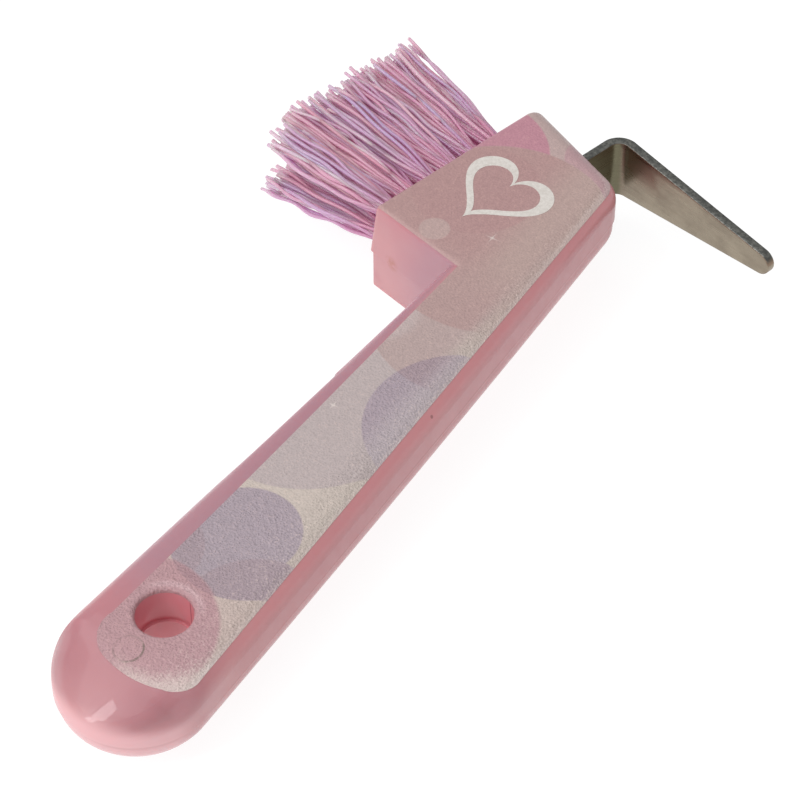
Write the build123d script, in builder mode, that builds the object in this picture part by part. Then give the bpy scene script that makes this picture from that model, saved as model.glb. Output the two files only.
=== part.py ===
"""Hoof pick: a moulded plastic bar with a brush and a steel pick on its head.

Millimetres. +Z is up, out of the printed face. +Y runs along the bar from the hang hole to the
head, and +X is the side that the blade points to. The origin is on the axis of the hang hole, in
the plane where the two halves of the mould meet.
"""

import math
import os

from build123d import *

# The bar, at the plane where the two mould halves meet.
HALF_THICKNESS = 8.0  # from the mould's parting plane to the bar's flat face
DRAFT = 4.5  # degrees of draft on every upright wall
PARTING_STEP = 0.3  # the lower half is this much smaller than the upper one
BUTT_CENTRE = (0.5, -8.7)
BUTT_RADIUS = 13.9
RIGHT_LEAN = 1.3  # degrees by which the right side leans inward where it leaves the butt
LEFT_LEAN = 3.85
RIGHT_END_X = 9.5  # the right side's line where it would meet the end face
LEFT_NECK = (-6.6, 102.0)  # the left side runs on into the head, to this point
TOP_ROUND = 4.0
DOME_START_Y = -6.0  # from here to the butt the flat face curves down
DOME_RADIUS = 26.0
BELLY_DEPTH = 6.9  # from the parting plane to the bar's underside, at the butt's centre
BELLY_SLOPE = 0.7  # degrees by which the bar's underside deepens towards the head
BELLY_ROUND = 6.4

# The head is square to its own axis, which leans towards the blade side.
HEAD_LEAN = 14.1
HEAD_CORNER = (-24.5, 100.2)  # shoulder and brush face meet here
BRUSH_FACE_LENGTH = 40.8
BRUSH_FACE_PROUD = 2.2  # of the corner, at the parting plane
SHOULDER_PROUD = 0.95
END_FACE_LEAN = 10.5  # the end face falls back towards the blade side
END_FACE_PROUD = 1.8
END_CORNER_ROUND = 5.7
BRUSH_EDGE_ROUND = 1.6
HEAD_DEPTH = 12.0  # the brush block's underside, below the parting plane
BLOCK_PARTING = 3.3  # the parting line runs this much lower round the brush block
BLOCK_WIDTH = 17.0  # from the brush face to where the block is buried in the bar
BLOCK_BURIED_X = 0.0
BLOCK_CORNER_ROUND = 1.0
BLOCK_BASE_ROUND = 2.5  # where the block stands out below the bar
BAR_REACH = 80.0  # longer than the head in any direction

# Hang hole: two core pins meet inside it and leave a small ledge.
HOLE_RADIUS = 5.0
HOLE_LOWER_RADIUS = 4.45
HOLE_LEDGE = 0.4
HOLE_LIP = 0.7

# Brush: straight rows of tufts in blind holes, each held by a flat anchor.
TUFT_COLUMNS = 6
TUFT_PITCH = 5.45
TUFT_ROWS = (2.9, -1.8)  # height above the parting plane
FIRST_COLUMNS = (4.9, 2.9)  # from the head's corner to each row's first column
TUFT_HOLE_RADIUS = 2.1
TUFT_HOLE_DEPTH = 9.0
TUFT_HOLE_OVERCUT = 0.5  # the hole starts this far outside the brush face
TUFT_ROOT_RADIUS = 1.85
TUFT_ROOT_DEPTH = 7.2
TUFT_TIP_RADIUS = 3.1
TUFT_EXPOSED = 31.0
TUFT_LEAN_FIRST = -0.10  # lean of the first column, as a slope along the row
TUFT_LEAN_LAST = 0.07
ROW_RISES = (0.085, -0.05)  # slope by which each row leaves the head's plane
ANCHOR = (3.8, 1.4, 0.35)  # across the hole, along the hole, thick
ANCHOR_CLEARANCE = 0.1  # from the bottom of the hole

# Pick: a flat steel strap with its tang moulded into the head.
STRAP_WIDTH = 13.2
STRAP_THICKNESS = 1.9
STRAP_CENTRE_Z = -2.4
BEND_INNER = (49.5, -13.7)  # along and across the head, from its corner
BEND_RADIUS = 2.2
TANG_START = 17.0
TANG_HOLE_RADIUS = 2.5
TANG_HOLE_AT = 25.0
TANG_CLEARANCE = 0.03
BLADE_LENGTH = 39.2
BLADE_TIP_RADIUS = 2.5

# Printed film on the flat face.
FILM_THICKNESS = 0.15
FILM_RIGHT_BULGE = (10.9, 52.0)  # the film's right edge bows outward through this point
FILM_RIGHT_END_X = 8.3
FILM_HOLE_RADIUS = 5.75
FILM_HEAD_INSET = 1.1  # from the parting line to the film, at the shoulder wall
FILM_BRUSH_INSET = 1.5
FILM_END_INSET = 0.6
FILM_NECK = (-4.2, 94.0)
FILM_WAIST = (-5.2, 46.0)
FILM_CORNER_ROUND = 1.2
FILM_END_ROUND = 3.7
FILM_FAR_CORNER_ROUND = 6.0  # where the end edge turns down the blade side
FILM_BUTT_LEFT = ((-7.1, -4.5), (-6.3, -9.8), (-3.6, -12.0))  # round the left corner
FILM_BUTT_END = (2.9, -13.2)
FILM_BUTT_RIGHT = ((8.7, -12.5), (11.7, -11.0), (12.8, -8.0))  # round the right corner

os.makedirs("parts", exist_ok=True)

ALONG = Vector(math.sin(math.radians(HEAD_LEAN)), math.cos(math.radians(HEAD_LEAN)))
ACROSS = Vector(-ALONG.Y, ALONG.X)
HEAD_PLANE = Plane(origin=(*HEAD_CORNER, 0), x_dir=ALONG, z_dir=(0, 0, 1))


def butt_point(angle, inset):
    """A point of the butt's arc, at an angle in degrees from +X."""
    spot = Vector(*BUTT_CENTRE) + Vector(BUTT_RADIUS - inset, 0).rotate(Axis.Z, angle)
    return (spot.X, spot.Y)


def head_point(along, across):
    """A point in plan, given along and across the head from its corner."""
    point = Vector(*HEAD_CORNER) + ALONG * along + ACROSS * across
    return (point.X, point.Y)


def end_face_point(across, proud):
    """A point of the end face's line, in plan, at a distance across the head."""
    slope = math.tan(math.radians(END_FACE_LEAN))
    along = BRUSH_FACE_LENGTH + proud / math.cos(math.radians(END_FACE_LEAN)) + slope * across
    return head_point(along, across)


def crossing(point_a, direction_a, point_b, direction_b):
    """Where two lines in plan cross."""
    gap_x, gap_y = point_b[0] - point_a[0], point_b[1] - point_a[1]
    cross = direction_a[0] * direction_b[1] - direction_a[1] * direction_b[0]
    run = (gap_x * direction_b[1] - gap_y * direction_b[0]) / cross
    return (point_a[0] + direction_a[0] * run, point_a[1] + direction_a[1] * run)


def shoulder_crossing(x, proud):
    """The shoulder's line in plan, at a given X."""
    return crossing(head_point(-proud, 0), tuple(ACROSS)[:2], (x, 0), (0, 1))


def head_corners(inset, end_inset=None, brush_inset=None):
    """Head corners in plan: brush and shoulder, brush and end, and end and right side."""
    brush_proud = BRUSH_FACE_PROUD - (inset if brush_inset is None else brush_inset)
    shoulder_proud = SHOULDER_PROUD - inset
    end_proud = END_FACE_PROUD - (inset if end_inset is None else end_inset)
    end_direction = tuple(Vector(*end_face_point(0, 0)) - Vector(*end_face_point(1, 0)))[:2]
    right = crossing(end_face_point(0, end_proud), end_direction, (RIGHT_END_X - inset, 0), (0, 1))
    return (
        head_point(-shoulder_proud, brush_proud),
        end_face_point(brush_proud, end_proud),
        right,
    )


def bar_outline(inset):
    """The bar in plan, from the butt along the head's blade side to the end face."""
    right = head_corners(inset)[2]
    inside = end_face_point(-BLOCK_WIDTH, END_FACE_PROUD - inset)
    neck = (LEFT_NECK[0] + inset, LEFT_NECK[1])
    with BuildSketch(Plane.XY) as outline:
        with BuildLine():
            butt_left = butt_point(180 - LEFT_LEAN, inset)
            butt_right = butt_point(RIGHT_LEAN, inset)
            ThreePointArc(butt_left, butt_point(-90, inset), butt_right)
            right_way = Vector(0, 1).rotate(Axis.Z, RIGHT_LEAN)
            TangentArc(butt_right, right, tangent=right_way)
            turn = crossing(inside, tuple(ALONG)[:2], neck, (1, 0))
            Polyline(right, inside, turn, neck)
            left_way = Vector(0, 1).rotate(Axis.Z, -LEFT_LEAN)
            TangentArc(butt_left, neck, tangent=left_way)
        make_face()
        corner = outline.vertices().sort_by_distance((*right, 0))[0]
        fillet(corner, END_CORNER_ROUND - inset)
    return outline.sketch


def block_outline(z, draft_inset):
    """The brush block in plan at one height, with its blade side buried in the bar."""
    near_in = head_point(-SHOULDER_PROUD + draft_inset, BRUSH_FACE_PROUD - draft_inset)
    far_in = end_face_point(BRUSH_FACE_PROUD - draft_inset, END_FACE_PROUD)
    with BuildSketch(Plane.XY.offset(z)) as outline:
        with BuildLine():
            Polyline(
                near_in,
                far_in,
                end_face_point(-BLOCK_WIDTH, END_FACE_PROUD),
                shoulder_crossing(BLOCK_BURIED_X, SHOULDER_PROUD - draft_inset),
                close=True,
            )
        make_face()
    return outline.sketch


def block_base_outline(inset):
    """The brush block in plan, below the parting line."""
    near, far = head_corners(inset)[:2]
    with BuildSketch(Plane.XY) as outline:
        with BuildLine():
            inside = end_face_point(-BLOCK_WIDTH, END_FACE_PROUD - inset)
            blade_side = shoulder_crossing(BLOCK_BURIED_X, SHOULDER_PROUD - inset)
            Polyline(near, far, inside, blade_side, close=True)
        make_face()
        corners = outline.vertices()
        fillet([corners.sort_by_distance((*spot, 0))[0] for spot in (near, far)], BLOCK_CORNER_ROUND)
    return outline.sketch


def film_outline():
    """The printed film in plan: right up to the head's walls, and set to the right on the bar."""
    near, far, right = head_corners(FILM_HEAD_INSET, FILM_END_INSET, FILM_BRUSH_INSET)
    end_way = (right[0] - far[0], right[1] - far[1])
    right_edge = crossing(far, end_way, (FILM_RIGHT_END_X, 0), (0, 1))
    inner_corner = shoulder_crossing(FILM_NECK[0], SHOULDER_PROUD - FILM_HEAD_INSET)
    with BuildSketch(Plane.XY) as outline:
        with BuildLine():
            Polyline(inner_corner, near, far, right_edge)
            ThreePointArc(right_edge, FILM_RIGHT_BULGE, FILM_BUTT_RIGHT[2])
            ThreePointArc(*FILM_BUTT_RIGHT[::-1])
            ThreePointArc(FILM_BUTT_RIGHT[0], FILM_BUTT_END, FILM_BUTT_LEFT[2])
            ThreePointArc(*FILM_BUTT_LEFT[::-1])
            ThreePointArc(FILM_BUTT_LEFT[0], FILM_WAIST, inner_corner)
        make_face()
        corners = outline.vertices().sort_by(Axis.Y)[-2:].sort_by(Axis.X)
        fillet(corners[0], FILM_CORNER_ROUND)
        fillet(corners[1], FILM_END_ROUND)
        far_corner = outline.vertices().sort_by_distance((*right_edge, 0))[0]
        fillet(far_corner, FILM_FAR_CORNER_ROUND)
        Circle(FILM_HOLE_RADIUS, mode=Mode.SUBTRACT)
    return outline.sketch


def brush_plane(out):
    """A plane parallel to the brush face, with X back towards the shoulder and Y up."""
    origin = head_point(0, BRUSH_FACE_PROUD + out)
    return Plane(origin=(*origin, 0), x_dir=-ALONG, z_dir=ACROSS)


def tuft_spot(row, column):
    """Where a tuft leaves the brush face, in the brush plane."""
    return (-(FIRST_COLUMNS[row] + column * TUFT_PITCH), TUFT_ROWS[row])


def tuft_tip(row, column):
    """Where a tuft ends: the columns fan out along the row, and the rows part."""
    lean = TUFT_LEAN_FIRST + (TUFT_LEAN_LAST - TUFT_LEAN_FIRST) * column / (TUFT_COLUMNS - 1)
    x, y = tuft_spot(row, column)
    return (x - lean * TUFT_EXPOSED, y + ROW_RISES[row] * TUFT_EXPOSED)


def row_spots(row):
    """Every tuft of one row, in the brush plane."""
    return [tuft_spot(row, column) for column in range(TUFT_COLUMNS)]


def is_round_the_hole(edge):
    """Whether an edge is one of the hang hole's rims or the rims of its ledge."""
    centre = edge.center(CenterOf.BOUNDING_BOX)
    return Vector(centre.X, centre.Y).length < HOLE_LEDGE and edge.length > HOLE_LOWER_RADIUS


# --- moulding: the bar above the parting plane, and its belly below ---
with BuildPart() as bar:
    extrude(bar_outline(0), amount=HALF_THICKNESS)
    top_edges = bar.faces().sort_by(Axis.Z)[-1].edges()
    end_edge = top_edges.filter_by(GeomType.LINE).sort_by(Axis.Y)[-2:].sort_by(Axis.X)[-1]
    end_middle = end_edge.center()
    with BuildSketch(Plane.YZ) as above_dome:
        with BuildLine():
            butt_y = BUTT_CENTRE[1] - 1.5 * BUTT_RADIUS
            drop = DOME_RADIUS - math.sqrt(DOME_RADIUS**2 - (DOME_START_Y - butt_y) ** 2)
            dome_end = (butt_y, HALF_THICKNESS - drop)
            TangentArc((DOME_START_Y, HALF_THICKNESS), dome_end, tangent=(-1, 0))
            Polyline(dome_end, (butt_y, 2 * HALF_THICKNESS), (DOME_START_Y, 2 * HALF_THICKNESS))
            Line((DOME_START_Y, 2 * HALF_THICKNESS), (DOME_START_Y, HALF_THICKNESS))
        make_face()
    extrude(amount=BAR_REACH, both=True, mode=Mode.SUBTRACT)
    end_edge = bar.edges().sort_by_distance(end_middle)[0]
    rims = [edge for edge in bar.edges() if edge.center().Z > TOP_ROUND / 2]
    fillet([edge for edge in rims if edge.geom_type != GeomType.LINE] + [end_edge], TOP_ROUND)

with BuildPart() as belly:
    extrude(bar_outline(PARTING_STEP), amount=-HEAD_DEPTH)
    underside = Plane(
        origin=(0, BUTT_CENTRE[1], -BELLY_DEPTH),
        x_dir=(1, 0, 0),
        z_dir=(0, math.tan(math.radians(BELLY_SLOPE)), 1),
    )
    split(bisect_by=underside, keep=Keep.TOP)
    low_edges = belly.faces().sort_by(Axis.Z)[0].edges()
    fillet([edge for edge in low_edges if edge.geom_type != GeomType.LINE], BELLY_ROUND)

# --- moulding: the brush block above its parting line, and its base below ---
with BuildPart() as block:
    draft_inset = (BLOCK_PARTING + HALF_THICKNESS) * math.tan(math.radians(DRAFT))
    loft([block_outline(-BLOCK_PARTING, 0), block_outline(HALF_THICKNESS, draft_inset)], ruled=True)
    fillet(block.faces().sort_by(Axis.Z)[-1].edges().sort_by(Axis.Y)[-1], TOP_ROUND)
    brush_side = block.faces().sort_by(Axis.Z)[-1].edges().filter_by(Axis((0, 0, 0), ALONG))
    fillet(brush_side.sort_by(Axis.X)[0], BRUSH_EDGE_ROUND)
    near_corner = block.edges().sort_by_distance((*head_corners(0)[0], 0))[0]
    fillet(near_corner, BLOCK_CORNER_ROUND)

with BuildPart() as block_base:
    extrude(block_base_outline(PARTING_STEP), amount=-HEAD_DEPTH)
    base_edges = block_base.faces().sort_by(Axis.Z)[0].edges()
    fillet(base_edges.sort_by(Axis.X)[-1], BLOCK_BASE_ROUND)

# --- the pocket that the moulding leaves round the tang, with the plastic key in its hole ---
with BuildPart() as tang_pocket:
    gap = TANG_CLEARANCE
    with BuildSketch(HEAD_PLANE.offset(STRAP_CENTRE_Z)):
        with BuildLine():
            Polyline(
                (TANG_START - gap, BEND_INNER[1] - gap),
                (BAR_REACH, BEND_INNER[1] - gap),
                (BAR_REACH, BEND_INNER[1] + STRAP_THICKNESS + gap),
                (TANG_START - gap, BEND_INNER[1] + STRAP_THICKNESS + gap),
                close=True,
            )
        make_face()
    extrude(amount=STRAP_WIDTH / 2 + gap, both=True)
    key_plane = Plane(
        origin=(*head_point(TANG_HOLE_AT, BEND_INNER[1] + STRAP_THICKNESS), STRAP_CENTRE_Z),
        x_dir=-ALONG,
        z_dir=ACROSS,
    )
    with BuildSketch(key_plane):
        Circle(TANG_HOLE_RADIUS - gap)
    extrude(amount=2 * STRAP_THICKNESS, both=True, mode=Mode.SUBTRACT)

# --- the skin: the moulding's outside before any hole, which the film follows ---
with BuildPart() as skin:
    for piece in (bar, belly, block, block_base):
        add(piece.part)

# --- the moulding: all of the above, then the hang hole, the tuft holes and the tang's pocket ---
with BuildPart() as handle_moulding:
    add(skin.part)
    with BuildSketch(Plane.XY.offset(HOLE_LEDGE)):
        Circle(HOLE_RADIUS)
    extrude(amount=HALF_THICKNESS, mode=Mode.SUBTRACT)
    with BuildSketch(Plane.XY.offset(HOLE_LEDGE)):
        Circle(HOLE_LOWER_RADIUS)
    extrude(amount=-2 * HALF_THICKNESS, mode=Mode.SUBTRACT)
    rims = handle_moulding.edges().filter_by(is_round_the_hole).sort_by(Axis.Z)
    fillet([rims[0], rims[-1]], HOLE_LIP)
    for row in range(len(TUFT_ROWS)):
        with BuildSketch(brush_plane(TUFT_HOLE_OVERCUT)):
            with Locations(*row_spots(row)):
                Circle(TUFT_HOLE_RADIUS)
        extrude(amount=-TUFT_HOLE_DEPTH - TUFT_HOLE_OVERCUT, mode=Mode.SUBTRACT)
    add(tang_pocket.part, mode=Mode.SUBTRACT)
handle_moulding.part.label = "handle_moulding"
export_step(handle_moulding.part, "parts/handle_moulding.step")

# --- the printed film: the moulding's own skin, lifted by the film's thickness ---
with BuildPart() as print_film:
    with Locations((0, 0, FILM_THICKNESS)):
        add(skin.part)
    extrude(film_outline(), amount=BAR_REACH, mode=Mode.INTERSECT)
    add(skin.part, mode=Mode.SUBTRACT)
print_film.part.label = "print_film"
export_step(print_film.part, "parts/print_film.step")

# --- the steel pick: tang, bend and tapering blade, cut from one flat strap ---
with BuildPart() as steel_pick:
    with BuildSketch(HEAD_PLANE.offset(STRAP_CENTRE_Z)):
        with BuildLine():
            bend_x, bend_y = BEND_INNER
            outer_x, outer_y = bend_x + STRAP_THICKNESS, bend_y + STRAP_THICKNESS
            Polyline(
                (TANG_START, bend_y),
                BEND_INNER,
                (bend_x, bend_y - BLADE_LENGTH),
                (outer_x, bend_y - BLADE_LENGTH),
                (outer_x, outer_y),
                (TANG_START, outer_y),
                close=True,
            )
        make_face()
        fillet(vertices().sort_by_distance((*BEND_INNER, 0))[0], BEND_RADIUS)
        outer_corner = vertices().sort_by_distance((outer_x, outer_y, 0))[0]
        fillet(outer_corner, BEND_RADIUS + STRAP_THICKNESS)
    extrude(amount=STRAP_WIDTH / 2, both=True)
    blade_view = Plane(
        origin=(*head_point(BEND_INNER[0], BEND_INNER[1]), STRAP_CENTRE_Z), x_dir=-ACROSS, z_dir=-ALONG
    )
    with BuildSketch(blade_view) as side_view:
        with Locations((BLADE_LENGTH - BLADE_TIP_RADIUS, 0)):
            Circle(BLADE_TIP_RADIUS)
        with Locations((-STRAP_THICKNESS, 0)):
            Rectangle(2 * STRAP_THICKNESS + 2 * BEND_RADIUS, STRAP_WIDTH)
        make_hull()
    extrude(amount=BAR_REACH, both=True, mode=Mode.INTERSECT)
    tang_view = Plane(
        origin=(*head_point(TANG_HOLE_AT, outer_y), STRAP_CENTRE_Z), x_dir=-ALONG, z_dir=ACROSS
    )
    with BuildSketch(tang_view):
        Circle(TANG_HOLE_RADIUS)
    extrude(amount=2 * STRAP_THICKNESS, both=True, mode=Mode.SUBTRACT)
steel_pick.part.label = "steel_pick"
export_step(steel_pick.part, "parts/steel_pick.step")

# --- the brush: one soft solid per tuft, narrow in its hole and fanning outside ---
for row in range(len(TUFT_ROWS)):
    for column in range(TUFT_COLUMNS):
        with BuildPart() as tuft:
            with BuildSketch(brush_plane(-TUFT_ROOT_DEPTH)) as root:
                with Locations(tuft_spot(row, column)):
                    Circle(TUFT_ROOT_RADIUS)
            with BuildSketch(brush_plane(0)) as mouth:
                with Locations(tuft_spot(row, column)):
                    Circle(TUFT_ROOT_RADIUS)
            with BuildSketch(brush_plane(TUFT_EXPOSED)) as tip:
                with Locations(tuft_tip(row, column)):
                    Circle(TUFT_TIP_RADIUS)
            loft([root.sketch, mouth.sketch, tip.sketch], ruled=True)
        name = f"tuft_row{row + 1}_col{column + 1}"
        tuft.part.label = name
        export_step(tuft.part, f"parts/{name}.step")

# --- the anchors: a flat metal strip across the bottom of each tuft hole ---
with BuildPart() as tuft_anchors:
    anchor_width, anchor_run, anchor_thickness = ANCHOR
    for row in range(len(TUFT_ROWS)):
        with BuildSketch(brush_plane(-TUFT_HOLE_DEPTH + ANCHOR_CLEARANCE)):
            with Locations(*row_spots(row)):
                Rectangle(anchor_width, anchor_thickness)
        extrude(amount=anchor_run)
tuft_anchors.part.label = "tuft_anchors"
export_step(tuft_anchors.part, "parts/tuft_anchors.step")
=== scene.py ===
"""Looks for the hoof pick: pink moulding, printed film, plastic bristles and a steel pick."""

import math
import random
from types import SimpleNamespace

import bmesh
import bpy
from mathutils import Matrix, Vector
from mathutils.bvhtree import BVHTree

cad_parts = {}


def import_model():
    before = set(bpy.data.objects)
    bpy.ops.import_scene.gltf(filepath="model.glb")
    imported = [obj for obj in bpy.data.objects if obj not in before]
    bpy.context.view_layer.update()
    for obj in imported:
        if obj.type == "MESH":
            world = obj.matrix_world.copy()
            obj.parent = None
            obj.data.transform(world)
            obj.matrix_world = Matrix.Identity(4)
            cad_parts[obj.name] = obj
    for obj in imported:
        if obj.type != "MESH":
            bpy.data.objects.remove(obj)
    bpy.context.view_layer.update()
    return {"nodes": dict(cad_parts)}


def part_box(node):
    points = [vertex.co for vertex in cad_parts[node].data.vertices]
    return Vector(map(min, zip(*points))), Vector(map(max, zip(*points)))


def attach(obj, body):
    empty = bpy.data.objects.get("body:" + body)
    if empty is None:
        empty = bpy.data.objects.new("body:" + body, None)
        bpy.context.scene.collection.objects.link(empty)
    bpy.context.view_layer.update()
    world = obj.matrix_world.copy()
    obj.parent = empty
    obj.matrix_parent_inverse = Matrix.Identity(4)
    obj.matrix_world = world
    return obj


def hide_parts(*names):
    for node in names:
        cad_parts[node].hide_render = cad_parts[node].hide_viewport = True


MM = 0.001
UP = Vector((0, 0, 1))

# the head's own axes start at the near corner of its brush face: along that face, and out of it
HEAD_LEAN = math.radians(14.1)  # from +Y towards +X
HEAD_CORNER = Vector((-24.5, 100.2, 0)) * MM
ALONG = Vector((math.sin(HEAD_LEAN), math.cos(HEAD_LEAN), 0))
ACROSS = Vector((-ALONG.y, ALONG.x, 0))

# the steel strap, in millimetres along and across the head
STRAP_WIDTH, STRAP_THICKNESS, STRAP_Z = 13.2, 1.9, -2.4
BEND_INNER, BEND_RADIUS = (49.5, -13.7), 2.2
TANG_START, TANG_HOLE_AT, TANG_HOLE_RADIUS = 17.0, 25.0, 2.5
BLADE_LENGTH, TIP_RADIUS = 39.2, 2.5
EDGE_ROUND = 0.28  # the CAD strap has square edges
TANG_MIDDLE = BEND_INNER[1] + STRAP_THICKNESS / 2
TANG_ACROSS = HEAD_CORNER.dot(ACROSS) / MM + TANG_MIDDLE  # from the frame's origin

# the hang hole is at the frame's origin, and its rim is rounded
HOLE_RADIUS, LIP_RADIUS, LIP_CENTRE_Z = 5.0, 0.7, 7.3
LIP_CENTRE_R = HOLE_RADIUS + LIP_RADIUS

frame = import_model()
nodes = frame["nodes"]


# ---------------------------------------------------------------- node helpers


def lin(red, green, blue):
    """A display colour, 0 to 255, as linear light."""
    out = []
    for level in (red, green, blue):
        c = level / 255
        out.append(c / 12.92 if c <= 0.04045 else ((c + 0.055) / 1.055) ** 2.4)
    return (*out, 1.0)


class Look:
    """One procedural material, with short names for the nodes it needs. Lengths are millimetres."""

    def __init__(self, name):
        self.material = bpy.data.materials.new(name)
        self.material.use_nodes = True
        self.tree = self.material.node_tree
        self.shader = self.tree.nodes["Principled BSDF"]
        place = self.new("ShaderNodeTexCoord").outputs["Object"]
        self.mm = self.vector("MULTIPLY", place, (1000, 1000, 1000))
        self.flat = self.vector("MULTIPLY", place, (1000, 1000, 0))
        self.x, self.y, self.z = self.split(self.mm)
        self.colour = None

    def new(self, kind, **settings):
        node = self.tree.nodes.new(kind)
        for key, value in settings.items():
            setattr(node, key, value)
        return node

    def feed(self, socket, value):
        if isinstance(value, bpy.types.NodeSocket):
            self.tree.links.new(value, socket)
        else:
            socket.default_value = value

    def set(self, **values):
        for key, value in values.items():
            self.feed(self.shader.inputs[key.replace("_", " ")], value)

    def math(self, operation, a, b=0.0):
        node = self.new("ShaderNodeMath", operation=operation)
        self.feed(node.inputs[0], a)
        self.feed(node.inputs[1], b)
        return node.outputs[0]

    def vector(self, operation, a, b):
        node = self.new("ShaderNodeVectorMath", operation=operation)
        self.feed(node.inputs[0], a)
        self.feed(node.inputs[1], b)
        return node.outputs["Value" if operation in ("DISTANCE", "DOT_PRODUCT") else "Vector"]

    def split(self, value):
        node = self.new("ShaderNodeSeparateXYZ")
        self.feed(node.inputs[0], value)
        return node.outputs

    def join(self, x, y, z):
        node = self.new("ShaderNodeCombineXYZ")
        for socket, value in zip(node.inputs, (x, y, z)):
            self.feed(socket, value)
        return node.outputs[0]

    def ramp(self, value, low, high, out_low=0.0, out_high=1.0):
        """A smooth step, from out_low at low to out_high at high."""
        node = self.new("ShaderNodeMapRange")
        node.interpolation_type = "SMOOTHSTEP"
        self.feed(node.inputs["Value"], value)
        self.feed(node.inputs["From Min"], low)
        self.feed(node.inputs["From Max"], high)
        self.feed(node.inputs["To Min"], out_low)
        self.feed(node.inputs["To Max"], out_high)
        return node.outputs[0]

    def fade(self, value, low, high):
        """1 up to low, 0 from high."""
        return self.ramp(value, low, high, 1.0, 0.0)

    def off(self, value, middle):
        """How far a value is from a middle."""
        return self.math("ABSOLUTE", self.math("SUBTRACT", value, middle))

    def noise(self, scale, detail=2.0, rough=0.5, where=None, stretch=None, seed=0.0):
        where = self.mm if where is None else where
        if stretch:
            where = self.vector("MULTIPLY", where, stretch)
        node = self.new("ShaderNodeTexNoise", noise_dimensions="4D")
        self.feed(node.inputs["Vector"], where)
        self.feed(node.inputs["W"], seed)
        self.feed(node.inputs["Scale"], scale)
        self.feed(node.inputs["Detail"], detail)
        self.feed(node.inputs["Roughness"], rough)
        return node.outputs["Fac"]

    def cells(self, scale):
        node = self.new("ShaderNodeTexVoronoi")
        self.feed(node.inputs["Vector"], self.mm)
        self.feed(node.inputs["Scale"], scale)
        return node.outputs["Distance"]

    def mix(self, below, above, share, blend="MIX"):
        node = self.new("ShaderNodeMix", data_type="RGBA", blend_type=blend)
        self.feed(node.inputs[0], share)
        self.feed(node.inputs[6], below)
        self.feed(node.inputs[7], above)
        return node.outputs[2]

    def paint(self, above, *masks, share=1.0):
        """Lays a colour over the look's own colour, where every mask is."""
        mask = self.both(*masks)
        if share < 1.0:
            mask = self.math("MULTIPLY", mask, share)
        self.colour = self.mix(self.colour, above, mask)

    def circle(self, x, y, radius, soft=0.2):
        """1 inside a circle, seen from above, and 0 outside."""
        away = self.vector("DISTANCE", self.flat, (x, y, 0))
        return self.fade(away, radius - soft, radius + soft)

    def spot(self, x, y, z, radius, soft):
        """1 inside a ball and 0 outside."""
        away = self.vector("DISTANCE", self.mm, (x, y, z))
        return self.fade(away, radius - soft, radius + soft)

    def both(self, *masks):
        out = masks[0]
        for mask in masks[1:]:
            out = self.math("MULTIPLY", out, mask)
        return out

    def either(self, *masks):
        out = masks[0]
        for mask in masks[1:]:
            out = self.math("MAXIMUM", out, mask)
        return out

    def outside(self, mask):
        return self.math("SUBTRACT", 1.0, mask)

    def bump(self, height, strength, distance, below=None):
        node = self.new("ShaderNodeBump")
        self.feed(node.inputs["Strength"], strength)
        self.feed(node.inputs["Distance"], distance)
        self.feed(node.inputs["Height"], height)
        if below is not None:
            self.feed(node.inputs["Normal"], below)
        return node.outputs[0]

    def facing_up(self):
        """1 where the surface faces up, 0 where it is upright and -1 where it faces down."""
        return self.split(self.new("ShaderNodeNewGeometry").outputs["Normal"])[2]


def dress(name, look):
    """A CAD node keeps its shape and takes a new material."""
    piece = nodes[name]
    if not piece.material_slots:
        piece.data.materials.append(look.material)
    for one in piece.material_slots:
        one.link = "OBJECT"
        one.material = look.material


# ---------------------------------------------------------------- moulding

PARTING_Z = 0.12  # where dirt settles in the parting step
CROWN_AXIS_X, CROWN_RADIUS = 1.0, 22.0  # the butt's dome, across
WELD_X = 1.75  # the weld line down the far side of the hang hole
SLIT = (4.6, 1.9, 3.4, 0.9)  # x, y, z and radius of a scuff in the hang hole
SMEAR = (-20.9, 98.5, -2.9, 1.3)  # x, y, z and radius of a rusty smear on the block
SPECKS = (
    (11.6, 62.2, 6.3, 0.32),
    (12.4, 47.0, 4.4, 0.22),
    (13.2, 21.0, 2.6, 0.25),
    (-8.6, -17.5, 5.6, 0.2),
)


def moulding_light_and_shade(look):
    """Painted light and shade: the pink made deeper or paler from one face to the next."""
    # painted shade: deeper and more saturated just below the film
    look.paint(lin(190, 114, 126), look.ramp(look.z, 3.0, 7.4), share=0.4)
    # painted shade: a darker, mauve cast on the narrow strip beside the film
    strip_run = look.both(look.ramp(look.y, -4.0, 10.0), look.fade(look.y, 96.0, 99.0))
    look.paint(lin(172, 128, 142), look.fade(look.x, -5.5, -4.0), strip_run, share=0.7)
    # the top of the butt is a shade deeper as painted shade, its foot a shade paler as painted light
    look.paint(lin(176, 116, 124), look.ramp(look.y, -5.0, -10.0), look.ramp(look.z, 1.5, 4.5), share=0.5)
    look.paint(lin(232, 180, 184), look.ramp(look.y, -10.0, -16.0), look.ramp(look.z, 4.2, 1.5), share=0.8)


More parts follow.
